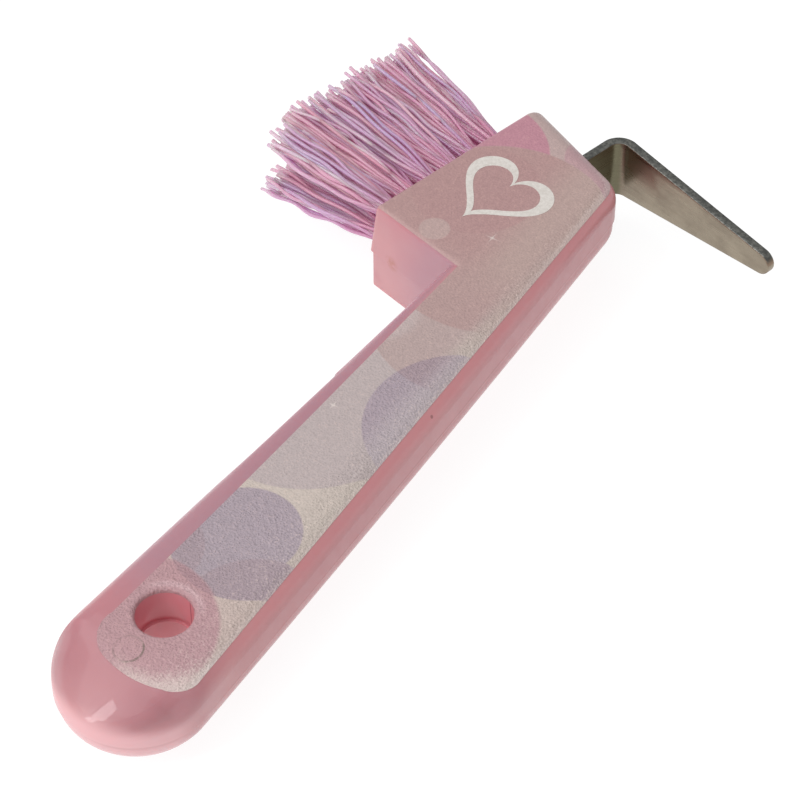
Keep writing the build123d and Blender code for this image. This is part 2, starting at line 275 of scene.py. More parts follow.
def parting_line(look):
    """The line where the mould's halves met, with a painted highlight just below it, and painted light and
    shade on the blade-side face that it runs along.
    """
    wander = look.ramp(look.noise(0.1, 2.0, seed=12.0), 0.3, 0.7, -0.12, 0.12)
    height = look.math("ADD", look.z, wander)
    on_line = look.fade(look.off(height, PARTING_Z), 0.15, 0.5)
    # dirt along the middle of the bar
    patchy = look.ramp(look.noise(0.1, 3.0, 0.5, stretch=(1, 0.5, 1), seed=9.0), 0.38, 0.55, 0.25, 1.0)
    dirt_run = look.both(look.ramp(look.y, 14.0, 30.0), look.fade(look.y, 78.0, 96.0))
    dirty = look.ramp(look.both(look.ramp(look.x, 6.0, 9.0), dirt_run), 0.0, 1.0, 0.0, 0.75)
    look.paint(lin(122, 76, 70), on_line, patchy, dirty)
    seam_run = look.both(look.ramp(look.x, 2.0, 5.0), look.ramp(look.y, -12.0, 4.0))
    look.paint(lin(160, 92, 100), on_line, seam_run, share=0.55)
    # painted light on that face's upper part, and painted shade lower down
    blade_face = look.both(look.ramp(look.x, 5.0, 8.0), look.ramp(look.y, -12.0, 6.0))
    look.paint(lin(218, 146, 150), blade_face, look.ramp(look.z, 3.5, 6.0, 0.0, 0.75))
    look.paint(lin(180, 102, 108), blade_face, look.ramp(look.z, 6.5, 4.0, 0.0, 0.7))
    # a pale edge just below the line: a painted highlight where the lower half stands proud
    pale = look.ramp(look.off(height, -0.6), 0.1, 0.4, 0.35, 0.0)
    look.paint(lin(206, 150, 152), pale, look.ramp(look.x, -4.0, 4.0))


def moulding_marks(look):
    """A rusty smear on the block's parting line, and a few specks."""
    broken = look.ramp(look.noise(0.5, 3.0, 0.6, seed=2.0), 0.3, 0.62)
    look.paint(lin(176, 108, 88), look.spot(*SMEAR, 1.1), broken, share=0.75)
    for speck in SPECKS:
        look.paint(lin(140, 84, 84), look.spot(*speck, 0.12), share=0.7)


def hole_wall(look):
    """The hang hole's wall is deeper in colour, painted light standing in for light bounced round inside
    the hole, with a weld line and a scuff.
    """
    radius = look.vector("DISTANCE", look.flat, (0, 0, 0))
    inside = look.fade(radius, HOLE_RADIUS + 0.05, HOLE_RADIUS + 0.5)
    in_hole = look.both(inside, look.ramp(look.z, 8.1, 7.3))
    # painted light: a deeper pink for light bounced round inside the hole
    look.paint(lin(230, 148, 158), in_hole, share=0.8)
    weld = look.both(look.fade(look.off(look.x, WELD_X), 0.05, 0.22), look.ramp(look.y, 3.0, 3.6))
    look.paint(lin(150, 66, 84), in_hole, weld, share=0.7)
    rough_edge = look.ramp(look.noise(1.6, 2.0, seed=7.0), 0.45, 0.55)
    look.paint(lin(132, 50, 70), in_hole, look.spot(*SLIT, 0.3), rough_edge, share=0.8)


def crown_bump(look):
    """The butt's dome is crowned across as well as along."""
    off_axis = look.math("SUBTRACT", look.x, CROWN_AXIS_X)
    drop = look.math("MULTIPLY", look.math("MULTIPLY", off_axis, off_axis), -1 / (2 * CROWN_RADIUS))
    on_dome = look.both(look.ramp(look.y, -8.0, -15.0), look.ramp(look.facing_up(), 0.3, 0.6))
    return look.bump(look.math("MULTIPLY", drop, on_dome), 1.0, MM)


def moulding_look():
    look = Look("pink_moulding")
    cloud = look.noise(0.035, 3.0, 0.55, seed=1.0)
    swirl = look.noise(0.12, 4.0, 0.6, stretch=(1, 0.35, 1), seed=4.0)
    look.colour = look.mix(lin(194, 134, 140), lin(206, 150, 152), look.ramp(cloud, 0.35, 0.65))
    look.paint(lin(188, 124, 134), look.ramp(swirl, 0.5, 0.72, 0.0, 0.4))
    moulding_light_and_shade(look)
    parting_line(look)
    moulding_marks(look)
    hole_wall(look)
    crowned = crown_bump(look)
    sink = look.bump(look.noise(0.05, 2.0, 0.5, seed=6.0), 0.3, 0.5 * MM, crowned)
    ripple = look.noise(0.4, 2.0, 0.5, stretch=(1, 0.4, 1), seed=3.0)
    look.set(
        Base_Color=look.colour,
        Roughness=look.ramp(look.noise(0.25, 4.0, 0.6, seed=7.0), 0.3, 0.7, 0.4, 0.5),
        Subsurface_Weight=0.25,
        Subsurface_Radius=(1.0, 0.45, 0.4),
        Subsurface_Scale=0.002,
        Coat_Weight=0.45,
        Coat_Roughness=0.04,
        Coat_Normal=crowned,
        Normal=look.bump(ripple, 0.1, 0.1 * MM, sink),
    )
    return look


# ---------------------------------------------------------------- film's print

WARMTH = 1.04  # how much redder the print is than its named colours

# the soft discs of the print: centre x, centre y and radius
GREY_DISC = (-7.6, 52.1, 20.7)
TAN_DISC = (7.1, 87.0, 21.2)
PALE_DISC = (-9.6, 77.6, 7.4)
LILAC_DISC = (18.1, 61.7, 17.3)
ROSE_DISC = (0.1, 100.2, 19.3)
HEAD_DEEP_DISC = (-12.5, 114.5, 12.2)
HEAD_SMALL_DISC = (-13.0, 101.0, 2.9)
HEAD_LARGE_DISC = (-4.0, 108.5, 21.6)
HEAD_PINK_DISC = (-20.4, 121.4, 16.9)
HEAD_FAR_DISC = (6.0, 136.0, 10.5)
BUTT_LEFT_DISC = (-11.3, 9.7, 10.1)
BUTT_RIGHT_DISC = (13.1, 7.0, 12.8)
BUTT_MIDDLE_DISC = (0.0, 11.0, 3.5)
BUTT_LARGE_DISC = (2.4, 20.2, 13.0)
BUTT_SMALL_DISC = (0.7, 21.4, 9.9)
BUTT_PINK_DISC = (-4.2, -6.3, 16.2)

SPARKLES = ((-2.8, 104.7, 2.6), (-3.3, 53.7, 2.4))  # x, y and size
PIN_AT, PIN_RADIUS = (-0.45, -9.1, 0), 2.5  # the ejector pin's mark under the film


def ink(red, green, blue):
    level = lin(red, green, blue)
    return (level[0] * WARMTH, level[1], level[2], 1.0)


def bar_print(look):
    """A cream ground, warmer at both ends, and overlapping discs, paled towards the blade side by a painted
    sheen. Returns the lilac disc's mask.
    """
    look.colour = look.mix(ink(196, 179, 172), ink(198, 188, 179), look.ramp(look.y, 0.0, 30.0))
    look.paint(ink(194, 173, 165), look.ramp(look.y, 74.0, 96.0))
    look.paint(ink(184, 173, 172), look.circle(*GREY_DISC))
    tan = look.circle(*TAN_DISC)
    # painted sheen: the tan disc thins out towards the blade side
    tan_thinned_by_sheen = look.both(tan, look.ramp(look.x, 5.0, 9.5, 1.0, 0.15))
    look.paint(ink(180, 161, 158), tan_thinned_by_sheen)
    look.paint(ink(190, 176, 174), tan, look.circle(*PALE_DISC, 1.2), share=0.75)
    lilac = look.circle(*LILAC_DISC)
    # painted sheen: the lilac is paler towards the blade side
    lilac_ink = look.mix(ink(171, 158, 168), ink(182, 172, 177), look.ramp(look.x, 3.5, 9.5))
    look.paint(look.mix(lilac_ink, ink(166, 148, 156), tan_thinned_by_sheen), lilac)
    # painted sheen: the rose disc thins out towards the blade side
    look.paint(ink(177, 150, 147), look.circle(*ROSE_DISC), look.ramp(look.x, 5.5, 8.5, 1.0, 0.1))
    return lilac


def head_print(look):
    """The head's ground and discs, and a brighter print beyond the large disc."""
    ground = look.mix(ink(177, 144, 142), ink(180, 157, 151), look.ramp(look.x, -6.0, 4.0))
    # painted sheen: the head's ground stops short of the blade side, which stays paler
    look.paint(ground, look.ramp(look.y, 88.0, 102.0), look.ramp(look.x, 6.0, 8.3, 1.0, 0.2))
    look.paint(ink(175, 140, 139), look.circle(*HEAD_DEEP_DISC), look.ramp(look.y, 90.0, 98.0), share=0.8)
    look.paint(ink(184, 160, 156), look.circle(*HEAD_SMALL_DISC))
    beyond = look.both(look.outside(look.circle(*HEAD_LARGE_DISC)), look.ramp(look.y, 112.0, 114.0))
    look.paint(ink(185, 164, 161), beyond)
    look.paint(ink(187, 135, 149), beyond, look.circle(*HEAD_PINK_DISC))
    look.paint(ink(183, 151, 155), beyond, look.circle(*HEAD_FAR_DISC))


def butt_print(look):
    """Lilac and pink discs near the hang hole. Returns their two masks."""
    darker = look.either(look.circle(*BUTT_LEFT_DISC), look.circle(*BUTT_RIGHT_DISC))
    below = look.either(darker, look.circle(*BUTT_MIDDLE_DISC))
    large = look.both(look.circle(*BUTT_LARGE_DISC), below)
    purple = look.either(look.circle(*BUTT_SMALL_DISC), large)
    look.paint(ink(172, 160, 169), purple)
    look.paint(ink(168, 152, 160), purple, darker)
    pink = look.circle(*BUTT_PINK_DISC, 0.5)
    look.paint(ink(187, 150, 155), pink)
    look.paint(ink(172, 139, 146), pink, purple)
    return purple, pink


def sparkles(look):
    """Small four-pointed sparkles."""
    for x, y, size in SPARKLES:
        cross = look.math("MULTIPLY", look.off(look.x, x), look.off(look.y, y))
        near = look.circle(x, y, size / 2, size / 2)
        look.paint(ink(222, 214, 208), look.fade(cross, 0.0, 0.09), near, share=0.7)


def pin_ring(look):
    """The broken ring left by an ejector pin under the film, with painted shade in its groove, deeper
    towards the blade side. Returns its mask.
    """
    away = look.vector("DISTANCE", look.flat, PIN_AT)
    ring = look.fade(look.off(away, PIN_RADIUS), 0.08, 0.26)
    broken = look.ramp(look.noise(0.8, 2.0, seed=3.5), 0.35, 0.6, 0.25, 1.0)
    # painted shade in the ring's groove, deeper towards the blade side
    look.paint(ink(120, 108, 98), ring, look.ramp(look.x, -1.0, 1.4, 0.3, 0.8), broken)
    return ring


def film_sheen(look, grain):
    """Painted sheen: paler colour where the film turns over an edge, breaking up with the grain."""
    from_hole = look.vector("DISTANCE", look.flat, (0, 0, 0))
    # painted sheen on the corner of the butt
    uneven = look.ramp(grain, 0.3, 0.7, -0.9, 0.9)
    from_butt = look.math("ADD", look.vector("DISTANCE", look.flat, (3, -3, 0)), uneven)
    corner = look.both(look.ramp(look.x, -3.0, 4.0), look.ramp(look.y, 2.0, -5.0))
    look.paint(ink(214, 200, 194), look.ramp(from_butt, 7.2, 11.0, 0.0, 0.8), corner)
    # a painted highlight on the hang hole's far lip
    on_lip = look.both(look.ramp(from_hole, 5.4, 5.9), look.fade(from_hole, 6.2, 7.2))
    far_lip = look.both(on_lip, look.ramp(look.y, 2.0, 5.2))
    look.paint(ink(216, 186, 190), far_lip, look.ramp(grain, 0.4, 0.6, 0.25, 0.8))
    # painted sheen on every other edge that turns down
    uneven = look.ramp(grain, 0.3, 0.7, -0.3, 0.3)
    turned = look.math("ADD", look.ramp(look.facing_up(), 0.995, 0.8), uneven)
    near_butt = look.ramp(look.y, 4.0, -8.0, 0.45, 1.0)
    off_hole = look.ramp(from_hole, 6.3, 7.6, 0.1, 1.0)
    blade_side = look.ramp(look.x, 0.0, 7.0, 0.08, 1.0)
    look.paint(ink(226, 212, 208), look.ramp(turned, 0.15, 0.9, 0.0, 0.75), near_butt, off_hole, blade_side)
    # painted sheen on the crests along the blade side
    look.paint(ink(224, 216, 212), look.ramp(look.x, 3.0, 11.0, 0.0, 0.3), look.ramp(grain, 0.5, 0.66))


def film_look():
    look = Look("printed_film")
    lilac = bar_print(look)
    head_print(look)
    purple, pink = butt_print(look)
    sparkles(look)
    ring = pin_ring(look)
    grain = look.noise(3.0, 3.0, 0.65, seed=5.0)
    leather = look.noise(1.0, 3.0, 0.6, stretch=(1.0, 0.7, 1.0), seed=11.0)
    pores = look.cells(2.2)
    film_sheen(look, grain)
    # fine leather grain, with a warmer, paler tone on its crests as a painted glint
    shade = look.ramp(grain, 0.3, 0.7, 0.95, 1.06)
    shade = look.math("ADD", shade, look.ramp(leather, 0.3, 0.7, -0.03, 0.03))
    shade = look.math("ADD", shade, look.ramp(pores, 0.1, 0.6, -0.03, 0.03))
    look.colour = look.mix(look.colour, look.join(shade, shade, shade), 1.0, "MULTIPLY")
    look.paint(ink(226, 196, 178), look.ramp(grain, 0.5, 0.72, 0.0, 0.24), look.ramp(leather, 0.35, 0.6))
    height = look.math("ADD", look.math("MULTIPLY", grain, 0.8), look.math("MULTIPLY", pores, 0.5))
    height = look.math("ADD", height, leather)
    # the grain is deepest in the discs and towards the blade side, and shallower on the head
    coarse = look.either(purple, lilac, pink, look.ramp(look.x, 4.0, 9.0))
    depth = look.both(look.ramp(coarse, 0.0, 1.0, 0.5, 1.0), look.ramp(look.y, 80.0, 108.0, 1.0, 0.7))
    look.set(
        Base_Color=look.colour,
        Roughness=look.ramp(grain, 0.3, 0.7, 0.36, 0.55),
        Normal=look.bump(height, depth, 0.3 * MM, look.bump(ring, 0.5, 0.1 * MM)),
    )
    return look


# ---------------------------------------------------------------- other materials


def steel_look():
    look = Look("stamped_steel")
    tilt = look.math("ABSOLUTE", look.facing_up())
    edge = look.ramp(tilt, 0.35, 0.75)
    along = look.vector("DOT_PRODUCT", look.mm, tuple(ALONG))
    across = look.vector("DOT_PRODUCT", look.mm, tuple(ACROSS))
    # fine lines run the length of the strap
    lay = look.join(look.math("MULTIPLY", along, 0.08), look.math("MULTIPLY", across, 0.08), look.z)
    brushed = look.noise(2.2, 4.0, 0.65, where=lay, seed=1.5)
    blotch = look.noise(0.16, 4.0, 0.6, seed=8.0)
    look.colour = look.mix(lin(140, 129, 114), lin(158, 147, 130), look.ramp(blotch, 0.35, 0.65))
    look.paint(lin(126, 114, 99), look.ramp(brushed, 0.5, 0.75, 0.0, 0.22))
    # the tang is darker and more olive, and the blade has a brown patch next to the bend
    look.paint(lin(112, 108, 88), look.ramp(look.math("SUBTRACT", across, TANG_ACROSS), -2.6, -1.6))
    from_bend = look.math("SUBTRACT", TANG_ACROSS, across)
    patch_edge = look.math("ADD", from_bend, look.ramp(blotch, 0.3, 0.7, -1.5, 1.5))
    patch = look.both(look.ramp(patch_edge, 2.6, 3.6), look.fade(patch_edge, 10.0, 12.5))
    look.paint(lin(134, 110, 96), patch, look.ramp(look.z, -4.5, 0.5), share=0.85)
    # sheared edges are pitted and darker, with a brown border beside them
    pits = look.ramp(look.noise(1.4, 4.0, 0.7, seed=2.0), 0.4, 0.64)
    look.paint(look.mix(lin(98, 99, 96), lin(134, 134, 129), pits), edge)
    look.paint(lin(128, 100, 84), look.ramp(tilt, 0.12, 0.3), look.outside(edge), share=0.55)
    rough = look.math("ADD", look.ramp(brushed, 0.3, 0.7, 0.24, 0.4), look.math("MULTIPLY", edge, 0.2))
    height = look.math("ADD", brushed, look.math("MULTIPLY", look.both(edge, pits), 1.5))
    look.set(
        Base_Color=look.colour,
        Metallic=1.0,
        Roughness=rough,
        Normal=look.bump(height, 0.12, 0.05 * MM),
    )
    return look


def bristle_look():
    look = Look("bristle_plastic")
    tint = look.new("ShaderNodeAttribute", attribute_name="tint", attribute_type="GEOMETRY")
    split = look.new("ShaderNodeSeparateColor")
    look.feed(split.inputs[0], tint.outputs["Color"])
    hue, light, reach = split.outputs
    look.colour = look.mix(lin(208, 154, 168), lin(180, 161, 194), hue)
    # painted highlight: some strands paler, by their random glint share
    look.paint(lin(214, 198, 207), look.ramp(light, 0.5, 1.0, 0.0, 0.65))
    # painted shade: deeper rose near the roots, between the tufts
    look.paint(lin(184, 112, 144), look.ramp(reach, 0.0, 0.5, 0.5, 0.0))
    look.paint(lin(222, 204, 208), look.ramp(reach, 0.86, 1.0, 0.0, 0.5))
    streak = look.noise(1.2, 3.0, 0.6, seed=3.0)
    look.paint(lin(182, 134, 162), look.ramp(streak, 0.5, 0.8, 0.0, 0.35))
    look.set(
        Base_Color=look.colour,
        Roughness=look.ramp(streak, 0.3, 0.7, 0.26, 0.4),
        Subsurface_Weight=0.5,
        Subsurface_Radius=(1.0, 0.55, 0.85),
        Subsurface_Scale=0.002,
        # painted light: a faint rose glow for light passing through the strands
        Emission_Color=lin(196, 108, 146),
        Emission_Strength=0.1,
    )
    return look


def anchor_look():
    look = Look("anchor_wire")
    drawn = look.noise(6.0, 3.0, 0.6, stretch=(1, 1, 0.2))
    look.set(
        Base_Color=look.mix(lin(176, 178, 182), lin(206, 208, 210), drawn),
        Metallic=1.0,
        Roughness=look.ramp(drawn, 0.3, 0.7, 0.3, 0.5),
        Normal=look.bump(drawn, 0.3, 0.02 * MM),
    )
    return look


def mark_look():
    look = Look("white_ink")
    grain = look.noise(1.9, 3.0, 0.6, seed=5.0)
    look.set(
        Base_Color=look.mix(lin(214, 207, 200), lin(228, 222, 216), look.ramp(grain, 0.35, 0.65)),
        Roughness=look.ramp(grain, 0.3, 0.7, 0.42, 0.58),
        Normal=look.bump(grain, 0.55, 0.12 * MM),
    )
    return look


# ---------------------------------------------------------------- mesh helpers


def new_piece(name, points, faces, look, tints=None):
    mesh = bpy.data.meshes.new(name)
    mesh.from_pydata([tuple(p) for p in points], [], faces)
    mesh.validate()
    mesh.polygons.foreach_set("use_smooth", [True] * len(mesh.polygons))
    if tints:
        layer = mesh.color_attributes.new("tint", "FLOAT_COLOR", "POINT")
        layer.data.foreach_set("color", [c for tint in tints for c in (*tint, 1.0)])
    piece = bpy.data.objects.new(name, mesh)
    piece.data.materials.append(look.material)
    bpy.context.scene.collection.objects.link(piece)
    return piece


def tidy_mesh(piece):
    """Merges doubled points and turns every face outward."""
    bm = bmesh.new()
    bm.from_mesh(piece.data)
    bmesh.ops.remove_doubles(bm, verts=bm.verts, dist=0.002 * MM)
    bmesh.ops.dissolve_degenerate(bm, edges=bm.edges, dist=0.001 * MM)
    bmesh.ops.recalc_face_normals(bm, faces=bm.faces)
    bm.to_mesh(piece.data)
    bm.free()


def head_place(along, across, z):
    """A point given along and across the head from its corner, in metres."""
    return HEAD_CORNER + ALONG * along + ACROSS * across + UP * z


def around(angle):
    """A direction on the plane that the brush faces."""
    return ALONG * math.cos(angle) + UP * math.sin(angle)


# ---------------------------------------------------------------- bristles

ROOT_DEPTH, ROOT_RADIUS = 7.2 * MM, 1.62 * MM  # one tuft inside its hole
STRANDS, CLUMPS = 40, 7  # in one tuft
SIDES, RINGS = 8, 26  # of one strand
ROOT_SHARE = 0.18  # of a strand's rings, inside the hole
GOLDEN_TURN = 2.39996  # radians from one strand to the next, so that the roots spread evenly
MOST_SPLAY, LONGEST = 4.0, 1.01


def ring_centre(node, end):
    """The middle of a tuft's root ring (end 0) or tip ring (end 1)."""
    spots = [v.co for v in nodes[node].data.vertices]
    reach = [p.dot(ACROSS) for p in spots]
    goal = max(reach) if end else min(reach)
    ring = [p for p, r in zip(spots, reach) if abs(r - goal) < 0.05 * MM]
    return sum(ring, Vector()) / len(ring)


def draw_strand(rng, index, clump, length):
    """One strand's own values. Its random draws are made in the order in which they stand."""
    turn = index * GOLDEN_TURN + rng.uniform(-0.25, 0.25)
    away = math.sqrt((index + 0.5) / STRANDS)
    a, b = away * math.cos(turn), away * math.sin(turn)
    splay_a = a * 3.3 + clump[0] * 0.9 + rng.gauss(0, 0.6)
    splay_b = b * 2.2 + clump[1] * 0.5 + rng.gauss(0, 0.35)
    if index % 5 == 4:
        splay_a *= 1.25
    splay_a = max(-MOST_SPLAY, min(MOST_SPLAY, splay_a))
    cut = length + rng.gauss(-0.012, 0.03)
    if rng.random() < 0.12:
        cut -= rng.uniform(0.03, 0.12)
    return SimpleNamespace(
        offset=(ALONG * a + UP * b) * ROOT_RADIUS,
        splay=(ALONG * splay_a + UP * splay_b) * MM,
        cut=min(cut, LONGEST),
        wave=rng.uniform(0.15, 0.42) * MM,
        pitch=rng.uniform(11.0, 21.0) * MM,
        phase=clump[2] + rng.gauss(0, 0.5),
        sway=around(rng.uniform(0, math.pi)),
        bow=ALONG * (rng.gauss(0, 0.7) * MM) + UP * (rng.gauss(0, 0.7) * MM),
        radius=rng.uniform(0.29, 0.42) * MM,
        hue=min(1.0, max(0.0, rng.gauss(0.2, 0.15) if rng.random() < 0.5 else rng.gauss(0.8, 0.15))),
        light=rng.random(),
    )


def strand_path(strand, root, mouth, tip):
    """Points from the hole's bottom to the strand's end, each with its share of the open length."""
    start = root + strand.offset
    base = start + ACROSS * ROOT_DEPTH
    aim = tip + strand.splay - mouth - strand.offset
    side = aim - ACROSS * aim.dot(ACROSS)
    lean = tip - mouth - ACROSS * (tip - mouth).dot(ACROSS)
    exposed = (tip - mouth).length
    path = []
    for ring in range(RINGS + 1):
        t = ring / RINGS
        if t < ROOT_SHARE:
            path.append((start.lerp(base, t / ROOT_SHARE), 0.0))
            continue
        s = (t - ROOT_SHARE) / (1 - ROOT_SHARE)
        fan = 1 - (1 - s) ** 2
        centre = base + ACROSS * (aim.dot(ACROSS) * strand.cut * s) + lean * s + (side - lean) * fan
        swing = math.sin(2 * math.pi * s * exposed / strand.pitch + strand.phase)
        centre += strand.sway * (strand.wave * min(1.0, s * 2.2) * swing)
        centre += strand.bow * math.sin(math.pi * s)
        path.append((centre, s))
    return path


def tuft_mesh(node, look, rng):
    root, tip = ring_centre(node, 0), ring_centre(node, 1)
    mouth = root + ACROSS * ROOT_DEPTH
    # the lower row and the first column are a little shorter
    low_row = tip.z < mouth.z
    first = tip.dot(ALONG) < mouth.dot(ALONG) - 2.5 * MM
    length = 0.92 * (0.96 if first else 1.0) if low_row else (0.89 if first else 1.0)
    clumps = []
    for _ in range(CLUMPS):
        clumps.append((rng.uniform(-1, 1), rng.uniform(-1, 1), rng.uniform(0, 2 * math.pi)))
    points, faces, tints = [], [], []
    for index in range(STRANDS):
        strand = draw_strand(rng, index, clumps[index % CLUMPS], length)
        first_point = len(points)
        for centre, reach in strand_path(strand, root, mouth, tip):
            for k in range(SIDES):
                points.append(centre + around(2 * math.pi * k / SIDES) * strand.radius)
                tints.append((strand.hue, strand.light, reach))
        for ring in range(RINGS):
            for k in range(SIDES):
                i = first_point + ring * SIDES + k
                j = first_point + ring * SIDES + (k + 1) % SIDES
                faces.append((i, i + SIDES, j + SIDES, j))
        last_ring = first_point + RINGS * SIDES
        faces.append(tuple(last_ring + k for k in range(SIDES))[::-1])
        faces.append(tuple(first_point + k for k in range(SIDES)))
    piece = new_piece("bristles_" + node, points, faces, look, tints)
    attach(piece, "root")
    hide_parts(node)
    return piece


# ---------------------------------------------------------------- steel strap

TANG_STEPS, BEND_STEPS, BLADE_STEPS, TIP_STEPS = 14, 12, 30, 10  # along the strap
EDGE_STEPS, COLUMNS = 4, 8  # round an edge and across a face
HOLE_SIDES = 48
BEND_MIDDLE = BEND_RADIUS + STRAP_THICKNESS / 2

# distances along the centre line, from the tang's end
BEND_START = BEND_INNER[0] - BEND_RADIUS - TANG_START
BEND_END = BEND_START + BEND_MIDDLE * math.pi / 2
TIP_CENTRE = BEND_END + BLADE_LENGTH - BEND_RADIUS - TIP_RADIUS


def strap_station(s):
    """Centre line and thickness direction at a distance along the strap, in head millimetres."""
    arc_along, arc_across = BEND_INNER[0] - BEND_RADIUS, BEND_INNER[1] - BEND_RADIUS
    if s <= BEND_START:
        return (TANG_START + s, arc_across + BEND_MIDDLE), (0.0, 1.0)
    if s <= BEND_END:
        angle = math.pi / 2 - (s - BEND_START) / BEND_MIDDLE
        out = (math.cos(angle), math.sin(angle))
        return (arc_along + BEND_MIDDLE * out[0], arc_across + BEND_MIDDLE * out[1]), out
    return (arc_along + BEND_MIDDLE, arc_across - (s - BEND_END)), (1.0, 0.0)


def strap_outline(inset):
    """Distance along and half width, from the tang's end to the tip, drawn in by an inset."""
    half = STRAP_WIDTH / 2
    blade = TIP_CENTRE - BEND_END
    taper = math.atan2(half, blade) - math.asin(TIP_RADIUS / math.hypot(blade, half))
    side_end = TIP_CENTRE + TIP_RADIUS * math.sin(taper)
    side_half = TIP_RADIUS * math.cos(taper)
    run = [(inset, half - inset)]
    for k in range(1, TANG_STEPS + 1):
        run.append((BEND_START * k / TANG_STEPS, half - inset))
    for k in range(1, BEND_STEPS + 1):
        run.append((BEND_START + (BEND_END - BEND_START) * k / BEND_STEPS, half - inset))
    for k in range(1, BLADE_STEPS + 1):
        t = k / BLADE_STEPS
        run.append((BEND_END + (side_end - BEND_END) * t, half + (side_half - half) * t - inset))
    for k in range(1, TIP_STEPS + 1):
        angle = taper + (math.pi / 2 - taper) * k / TIP_STEPS
        radius = TIP_RADIUS - inset
        run.append((TIP_CENTRE + radius * math.sin(angle), max(radius * math.cos(angle), 0.0)))
    return run


def strap_profile():
    """Inset and height round one edge, from the outer face to the inner face."""
    profile = []
    for step in range(EDGE_STEPS + 1):
        angle = math.pi / 2 * step / EDGE_STEPS
        height = STRAP_THICKNESS / 2 - EDGE_ROUND * (1 - math.cos(angle))
        profile.append((EDGE_ROUND * (1 - math.sin(angle)), height))
    return profile + [(inset, -height) for inset, height in reversed(profile)]


def strap_loop(station, profile, runs):
    """One closed loop round the strap: round an edge, across a face, and the same way back."""
    loop = []
    for side in (1, -1):
        edge = list(zip(profile, runs))[::side]
        for (_, height), run in edge:
            s, w = run[station]
            loop.append((s, side * w, height))
        for k in range(1, COLUMNS):
            loop.append((s, side * w * (1 - 2 * k / COLUMNS), height))
    return loop


def strap_point(s, w, h):
    (along, across), out = strap_station(s)
    return head_place((along + out[0] * h) * MM, (across + out[1] * h) * MM, (STRAP_Z + w) * MM)


def tang_hole_cutter(look):
    points, faces = [], []
    for end in (-2.0, 2.0):
        for k in range(HOLE_SIDES):
            angle = 2 * math.pi * k / HOLE_SIDES
            along = TANG_HOLE_AT + TANG_HOLE_RADIUS * math.cos(angle)
            height = STRAP_Z + TANG_HOLE_RADIUS * math.sin(angle)
            points.append(head_place(along * MM, (TANG_MIDDLE + end) * MM, height * MM))
    for k in range(HOLE_SIDES):
        m = (k + 1) % HOLE_SIDES
        faces.append((k, m, HOLE_SIDES + m, HOLE_SIDES + k))
    faces.append(tuple(range(HOLE_SIDES))[::-1])
    faces.append(tuple(range(HOLE_SIDES, 2 * HOLE_SIDES)))
    cutter = new_piece("cutter", points, faces, look)
    tidy_mesh(cutter)
    return cutter


def cut_away(piece, cutter):
    cut = piece.modifiers.new("tang_hole", "BOOLEAN")
    cut.operation = "DIFFERENCE"
    cut.solver = "EXACT"
    cut.object = cutter
    graph = bpy.context.evaluated_depsgraph_get()
    mesh = bpy.data.meshes.new_from_object(piece.evaluated_get(graph))
    piece.modifiers.clear()
    piece.data = mesh
    bpy.data.objects.remove(cutter)


def steel_strap(look):
    profile = strap_profile()
    runs = [strap_outline(inset) for inset, _ in profile]
    stations = len(runs[0])
    points, faces = [], []
    for station in range(stations):
        points += [strap_point(*spot) for spot in strap_loop(station, profile, runs)]
    size = len(points) // stations
    for station in range(stations - 1):
        first = station * size
        for k in range(size):
            m = (k + 1) % size
            faces.append((first + k, first + m, first + size + m, first + size + k))
    faces.append(tuple(reversed(range(size))))
    piece = new_piece("steel_strap", points, faces, look)
    tidy_mesh(piece)
    cut_away(piece, tang_hole_cutter(look))
    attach(piece, "root")
    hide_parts("steel_pick")
    return piece


# ---------------------------------------------------------------- printed film

FILM_LIFT = 0.12 * MM
GRID_STEP, GRID_START = 1.25 * MM, 0.43  # the first cut is a share of a step in
LIP_STEPS, LIP_TURN = 7, math.radians(80)


def film_face(bm):
    """Keeps the CAD film's upper face only, cut into a fine grid."""
    bmesh.ops.remove_doubles(bm, verts=bm.verts, dist=0.002 * MM)
    bm.normal_update()
    low = [f for f in bm.faces if f.normal.z < 0.5]
    bmesh.ops.delete(bm, geom=low, context="FACES")
    stray = [v for v in bm.verts if not v.link_faces]
    bmesh.ops.delete(bm, geom=stray, context="VERTS")
    lowest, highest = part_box("print_film")
    for axis, way in ((0, (1, 0, 0)), (1, (0, 1, 0))):
        place = lowest[axis] + GRID_STEP * GRID_START
        while place < highest[axis]:
            spot = [0, 0, 0]
            spot[axis] = place
            geom = bm.verts[:] + bm.edges[:] + bm.faces[:]
            bmesh.ops.bisect_plane(bm, geom=geom, plane_co=spot, plane_no=way, dist=0.01 * MM)
            place += GRID_STEP
    bmesh.ops.remove_doubles(bm, verts=bm.verts, dist=0.01 * MM)


def press_down(bm):
    """Lays every point of the film on the moulding."""
    skin = nodes["handle_moulding"].data
    corners = [v.co for v in skin.vertices]
    tree = BVHTree.FromPolygons(corners, [p.vertices[:] for p in skin.polygons])
    for v in bm.verts:
        hit = tree.ray_cast(Vector((v.co.x, v.co.y, 50 * MM)), -UP)[0]
        if hit is not None:
            v.co.z = hit.z + FILM_LIFT


def extrude(bm, edges):
    """Extrudes some edges, and returns the new points and the new edges."""
    made = bmesh.ops.extrude_edge_only(bm, edges=edges)["geom"]
    points = [g for g in made if isinstance(g, bmesh.types.BMVert)]
    return points, [g for g in made if isinstance(g, bmesh.types.BMEdge)]


